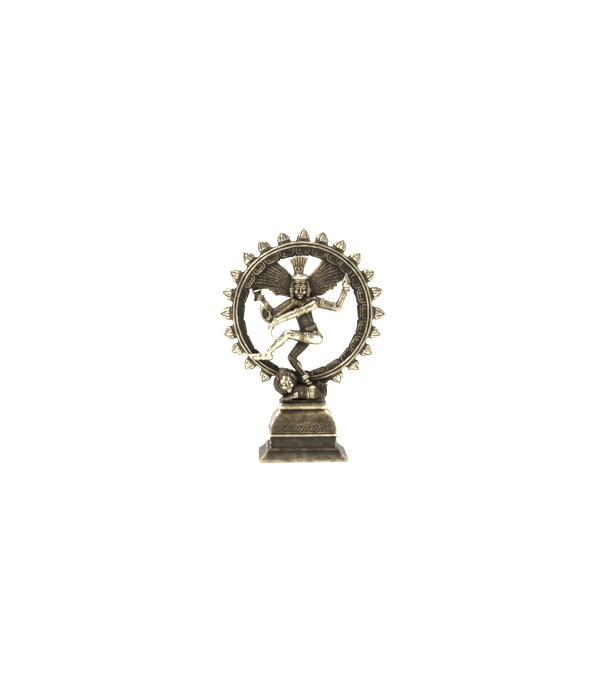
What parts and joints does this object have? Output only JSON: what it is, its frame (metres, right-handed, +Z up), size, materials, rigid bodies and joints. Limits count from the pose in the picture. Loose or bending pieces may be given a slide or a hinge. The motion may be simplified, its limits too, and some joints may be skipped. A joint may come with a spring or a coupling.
{
  "type": "cast brass dancing figure on a pedestal",
  "caption": "Small cast brass dancer with four arms, standing on a dwarf inside a ring of flames, on a hollow tiered rectangular pedestal; a free-standing ornament.",
  "frame": {"origin": "centre of the pedestal's underside, on the surface it stands on", "axes": "+Z up; the dancer faces -Y; +X is to the viewer's right"},
  "size_m": [0.0772, 0.032, 0.1072],
  "materials": {
    "antique_brass": "dark olive-brown patina over satin brass, worn on the raised parts",
    "polished_brass": "rubbed bright brass with dark patina left in the recesses",
    "fixing_steel": "plain zinc-plated"
  },
  "bodies": {
    "root": {"plinth_foot": "antique_brass", "plinth_waist": "antique_brass", "pedestal_dome": "antique_brass", "pedestal_cap": "polished_brass", "fixing_stud": "fixing_steel", "fixing_washer": "fixing_steel", "fixing_nut": "fixing_steel", "ring_stand": "antique_brass", "ring_pegs": "antique_brass", "ring_band": "antique_brass", "ring_beading": "polished_brass", "ring_scrolls": "antique_brass", "ring_flames": "polished_brass", "dwarf_body": "antique_brass", "dwarf_head": "antique_brass", "dwarf_arms": "antique_brass", "dwarf_legs": "antique_brass", "torso": "antique_brass", "hip_cloth": "polished_brass", "girdle": "polished_brass", "necklace": "polished_brass", "standing_leg": "antique_brass", "raised_leg": "polished_brass", "anklets": "polished_brass", "crossing_arm": "polished_brass", "blessing_arm": "antique_brass", "drum_arm": "antique_brass", "flame_arm": "polished_brass", "bracelets": "polished_brass", "armlets": "polished_brass", "hand_drum": "antique_brass", "hand_flame": "polished_brass", "cobra": "polished_brass", "head": "polished_brass", "earrings": "polished_brass", "crown_brim": "polished_brass", "crown_plume": "polished_brass", "hair_fan_left": "antique_brass", "hair_fan_right": "antique_brass", "dancer_pin": "antique_brass"}
  },
  "joints": []
}
